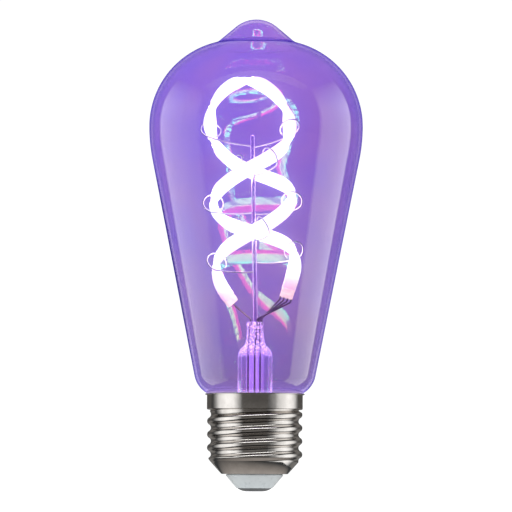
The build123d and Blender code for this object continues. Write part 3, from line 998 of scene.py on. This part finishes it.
def shell_shape():
    """Cone, rolled thread, collar and flared rim, pressed from one thin sheet."""
    thread_length = collar_foot - thread_foot
    thread_heights = [thread_foot + thread_length * row / thread_rows for row in range(thread_rows + 1)]
    cone_foot = cone_foot_radius - lip_fillet
    outside = [
        (mouth_radius, lip_height),
        (cone_foot, lip_height),
        *arc((cone_foot, lip_height + lip_fillet), lip_fillet, 270, 320, 4),
        *[(thread_root_radius, height) for height in thread_heights],
        *arc((collar_radius - collar_fillet, collar_foot + collar_fillet), collar_fillet, 270, 360, 6),
        *arc((collar_radius + rim_bend, cap_top - rim_height), rim_bend, 180, 150, 4),
        *arc((rim_radius - rim_edge, cap_top - rim_edge_drop), rim_edge, 320, 450, 8),
    ]
    shape = spun(outside)
    for corner in shape.verts:
        height = corner.co.z
        radius = hypot(corner.co.x, corner.co.y)
        if thread_foot < height < collar_foot and abs(radius - thread_root_radius) < 0.01:
            grown = 1 + knuckle(height, atan2(corner.co.y, corner.co.x)) / thread_root_radius
            corner.co.x *= grown
            corner.co.y *= grown
    bmesh.ops.recalc_face_normals(shape, faces=shape.faces)
    bmesh.ops.solidify(shape, geom=shape.faces[:], thickness=shell_wall)
    return shape


finished("rolled_shell", shell_shape(), finishes["nickel_plate"], "nickel_plate", "screw_shell", sharp=50.0)

insulator_foot = insulator_foot_radius - insulator_foot_fillet
insulator_brim = mouth_radius + insulator_overlap - insulator_brim_fillet
insulator_line = [
    (pin_radius, contact_height),
    (insulator_foot, contact_height),
    *arc((insulator_foot, contact_height + insulator_foot_fillet), insulator_foot_fillet, 270, 320, 5),
    *arc((insulator_brim, lip_height - insulator_brim_fillet), insulator_brim_fillet, 320, 450, 6),
    (mouth_radius, lip_height),
    (mouth_radius, lip_height + shell_wall),
    (flange_radius, lip_height + shell_wall),
    (flange_radius, insulator_top),
    (pin_radius, insulator_top),
    (pin_radius, contact_height),
]
finished("moulded_insulator", spun(insulator_line), finishes["insulator"], "insulator", "cap_insulator")

bulge_rise = contact_height - contact_edge_height
bulge_reach = contact_radius - contact_land_radius
bulge_radius = (bulge_reach**2 + bulge_rise**2) / (2 * bulge_rise)
bulge_turn = degrees(asin(bulge_reach / bulge_radius))
contact_line = [
    (0, 0),
    *arc((contact_land_radius, bulge_radius), bulge_radius, 270, 270 + bulge_turn, 12),
    (contact_radius, contact_height),
    (pin_radius, contact_height),
    (pin_radius, pin_top),
    (0, pin_top),
]
finished("pressed_contact", spun(contact_line), finishes["contact_metal"], "contact_metal", "centre_contact")

# Pieces inside the cap keep their solids and take a finish
for entry in frame["record"]["subparts"]:
    piece = frame["nodes"][entry["node"]]
    if not piece.hide_render:
        piece.data.materials.clear()
        piece.data.materials.append(finishes[entry["material_slot"]])

# Stage: pale floor, two tall soft lights, one above, a lit patch under the cap and a white surround

softbox_distance = 0.5
softbox_front = -0.8
softbox_back = 0.4
softbox_foot = -0.45
softbox_top = 0.5
# Brightness of each softbox, and its share of it from front to back, in clear glass and in plated metal
softbox_lights = {
    "left": {
        "glass": (
            2.5,
            ((-0.3, 0.0), (-0.22, 0.55), (-0.06, 0.85), (0.05, 1.0), (0.3, 1.0), (0.36, 0.0)),
        ),
        "metal": (
            1.38,
            ((-0.8, 0.15), (-0.59, 0.46), (-0.4, 0.9), (-0.15, 1.0), (0.03, 0.75), (0.14, 0.3), (0.27, 0.05)),
        ),
    },
    "right": {
        "glass": (3.1, ((-0.19, 0.0), (-0.14, 0.85), (0.15, 1.0), (0.28, 1.0), (0.32, 0.0))),
        "metal": (
            1.38,
            (
                (-0.73, 0.1),
                (-0.42, 0.27),
                (-0.29, 0.65),
                (-0.04, 1.0),
                (0.05, 0.95),
                (0.16, 0.7),
                (0.3, 0.2),
                (0.4, 0.05),
            ),
        ),
    },
}
overhead_reach = 0.9
overhead_front = -0.52
overhead_back = -0.3
overhead_height = 0.9
overhead_strength = 3.3
overhead_glass_strength = 0.8
floor_glow_reach = 0.02
floor_glow_strength = 0.42
floor_reach = 1.5


def stage_sheet(name, corners, material):
    """Flat sheet of the stage from its four corners."""
    sheet = bmesh.new()
    sheet.faces.new([sheet.verts.new(corner) for corner in corners])
    mesh = bpy.data.meshes.new(name)
    sheet.to_mesh(mesh)
    sheet.free()
    mesh.materials.append(material)
    piece = bpy.data.objects.new(name, mesh)
    bpy.context.scene.collection.objects.link(piece)
    return piece


def lit_cloth(name):
    """New stage material: its tree, the place on the sheet, and whether clear glass mirrors it."""
    material = bpy.data.materials.new(name)
    material.use_nodes = True
    tree = material.node_tree
    tree.nodes.clear()
    apart = taken_apart(tree, own_place(tree))
    ray = add(tree, "ShaderNodeLightPath")
    return material, tree, apart, ray.outputs["Is Singular Ray"]


def shine(tree, colour, strength):
    """Let a stage material give off light."""
    light = add(tree, "ShaderNodeEmission", {"Color": colour, "Strength": strength})
    add(tree, "ShaderNodeOutputMaterial", {"Surface": light.outputs["Emission"]})


def softbox_cloth(name, lights):
    """Lit cloth that fades towards its edges, in one way in clear glass and in another in plated metal."""
    material, tree, apart, in_glass = lit_cloth(name)
    depth = share_of(tree, apart["Y"], softbox_front, softbox_back)
    spread = softbox_back - softbox_front
    strengths = {}
    fades = {}
    for finish, (strength, shares) in lights.items():
        strengths[finish] = strength
        stops = [((y - softbox_front) / spread, grey(share)) for y, share in shares]
        fades[finish] = ramp(tree, depth, *stops)
    rise = share_of(tree, apart["Z"], softbox_foot, softbox_top)
    upwards = ramp(tree, rise, (0.74, grey(1.0)), (1.0, grey(0.0)))
    sideways = blended(tree, "MIX", in_glass, fades["metal"], fades["glass"])
    colour = blended(tree, "MULTIPLY", 1.0, sideways, upwards)
    shine(tree, colour, between(tree, in_glass, strengths["metal"], strengths["glass"]))
    return material


def overhead_cloth():
    """Lit cloth of the light above, softer towards its ends."""
    material, tree, apart, in_glass = lit_cloth("overhead_cloth")
    share = share_of(tree, apart["X"], -overhead_reach, overhead_reach)
    fade = ramp(tree, share, (0.0, grey(0.4)), (0.3, grey(1.0)), (0.7, grey(1.0)), (1.0, grey(0.4)))
    shine(tree, fade, between(tree, in_glass, overhead_strength, overhead_glass_strength))
    return material


def floor_glow_cloth():
    """Lit patch of the floor under the cap, which only its plated metal mirrors."""
    material, tree, apart, in_glass = lit_cloth("floor_glow_cloth")
    place = add(tree, "ShaderNodeCombineXYZ", {"X": apart["X"], "Y": apart["Y"]})
    reach = add(tree, "ShaderNodeVectorMath", {0: place.outputs["Vector"]}, operation="LENGTH")
    share = share_of(tree, reach.outputs["Value"], 0.0, floor_glow_reach)
    fade = ramp(tree, share, (0.5, (1.0, 0.92, 0.86)), (0.62, (0.75, 0.68, 0.63)), (0.95, grey(0.1)))
    shine(tree, fade, between(tree, in_glass, floor_glow_strength, 0.0))
    return material


def pale_floor():
    """White floor, bright enough to run into the white surround."""
    return new_material(
        "pale_floor",
        Base_Color=(0.9, 0.9, 0.9, 1.0),
        Roughness=0.9,
        Emission_Color=(1.0, 1.0, 1.0, 1.0),
        Emission_Strength=1.0,
    )[0]


def floor_square(reach):
    """Corners of a square on the floor round the bulb, from its half width."""
    return [(-reach, -reach, 0), (reach, -reach, 0), (reach, reach, 0), (-reach, reach, 0)]


light_sheets = []
for side_name, side in (("left", -1), ("right", 1)):
    x = side * softbox_distance
    softbox = stage_sheet(
        f"softbox_{side_name}",
        [
            (x, softbox_front, softbox_foot),
            (x, softbox_back, softbox_foot),
            (x, softbox_back, softbox_top),
            (x, softbox_front, softbox_top),
        ],
        softbox_cloth(f"softbox_cloth_{side_name}", softbox_lights[side_name]),
    )
    light_sheets.append(softbox)
overhead = stage_sheet(
    "overhead_softbox",
    [
        (-overhead_reach, overhead_front, overhead_height),
        (-overhead_reach, overhead_back, overhead_height),
        (overhead_reach, overhead_back, overhead_height),
        (overhead_reach, overhead_front, overhead_height),
    ],
    overhead_cloth(),
)
floor_glow = stage_sheet("floor_glow", floor_square(floor_glow_reach), floor_glow_cloth())
for light_sheet in (*light_sheets, overhead, floor_glow):
    light_sheet.visible_camera = False
    light_sheet.visible_transmission = False
floor_glow.visible_diffuse = False
floor = stage_sheet("floor", floor_square(floor_reach), pale_floor())
floor.visible_glossy = False

# The surround is white to the eye and through the glass, graded with height where metal mirrors it, and deep
# violet where clear glass does
world = bpy.data.worlds.new("white_surround")
bpy.context.scene.world = world
world.use_nodes = True
surround = world.node_tree
surround.nodes.clear()
ray = add(surround, "ShaderNodeLightPath").outputs
seen = calculated(surround, "MAXIMUM", ray["Is Camera Ray"], ray["Is Transmission Ray"])
direction = taken_apart(surround, own_place(surround))
in_metal = ramp(
    surround,
    share_of(surround, direction["Z"], -1.0, 1.0),
    (0.25, (0.008, 0.007, 0.006)),
    (0.32, (0.22, 0.21, 0.20)),
    (0.40, (0.22, 0.21, 0.20)),
    (0.46, (0.10, 0.095, 0.09)),
    (0.60, (0.10, 0.095, 0.09)),
    (0.66, (0.18, 0.17, 0.16)),
    (0.73, (0.18, 0.17, 0.16)),
    (0.80, (0.008, 0.007, 0.006)),
)
in_glass = (0.03, 0.01, 0.42, 1.0)
mirrored = blended(surround, "MIX", ray["Is Singular Ray"], in_metal, in_glass)
studio = add(surround, "ShaderNodeBackground", {"Color": mirrored, "Strength": 1.0})
white = add(surround, "ShaderNodeBackground", {"Color": (1.0, 1.0, 1.0, 1.0), "Strength": 1.05})
either = add(
    surround,
    "ShaderNodeMixShader",
    {"Fac": seen, 1: studio.outputs["Background"], 2: white.outputs["Background"]},
)
add(surround, "ShaderNodeOutputWorld", {"Surface": either.outputs["Shader"]})

# Camera: level with the foot of the cap, looking up a little, far off with a long lens

camera_distance = 1.0
camera_lift = radians(-3.5)
camera_roll = radians(0.25)
sensor_width = 36.0
picture_width = 0.1403
aim = Vector((0.00014, 0, 0.0644))
camera_data = bpy.data.cameras.new("camera")
camera_data.sensor_width = sensor_width
camera_data.lens = sensor_width * camera_distance / picture_width
camera = bpy.data.objects.new("camera", camera_data)
back = Vector((0, -cos(camera_lift), sin(camera_lift)))
camera.location = aim + back * camera_distance
camera.rotation_mode = "QUATERNION"
camera.rotation_quaternion = (-back).to_track_quat("-Z", "Y") @ Quaternion((0, 0, 1), camera_roll)
bpy.context.scene.collection.objects.link(camera)
bpy.context.scene.camera = camera

scene = bpy.context.scene
scene.view_settings.view_transform = "Standard"
scene.cycles.max_bounces = 24
scene.cycles.transmission_bounces = 24
scene.cycles.glossy_bounces = 8

# Glow round the strip
bloom = {"Threshold": 1.07, "Strength": 0.36, "Size": 0.15, "Tint": (0.4, 0.8, 1.0, 1.0)}
scene.use_nodes = True
picture = scene.node_tree
picture.nodes.clear()
layers = add(picture, "CompositorNodeRLayers")
halo = add(picture, "CompositorNodeGlare", {"Image": layers.outputs["Image"], **bloom}, glare_type="BLOOM")
add(picture, "CompositorNodeComposite", {"Image": halo.outputs["Image"]})
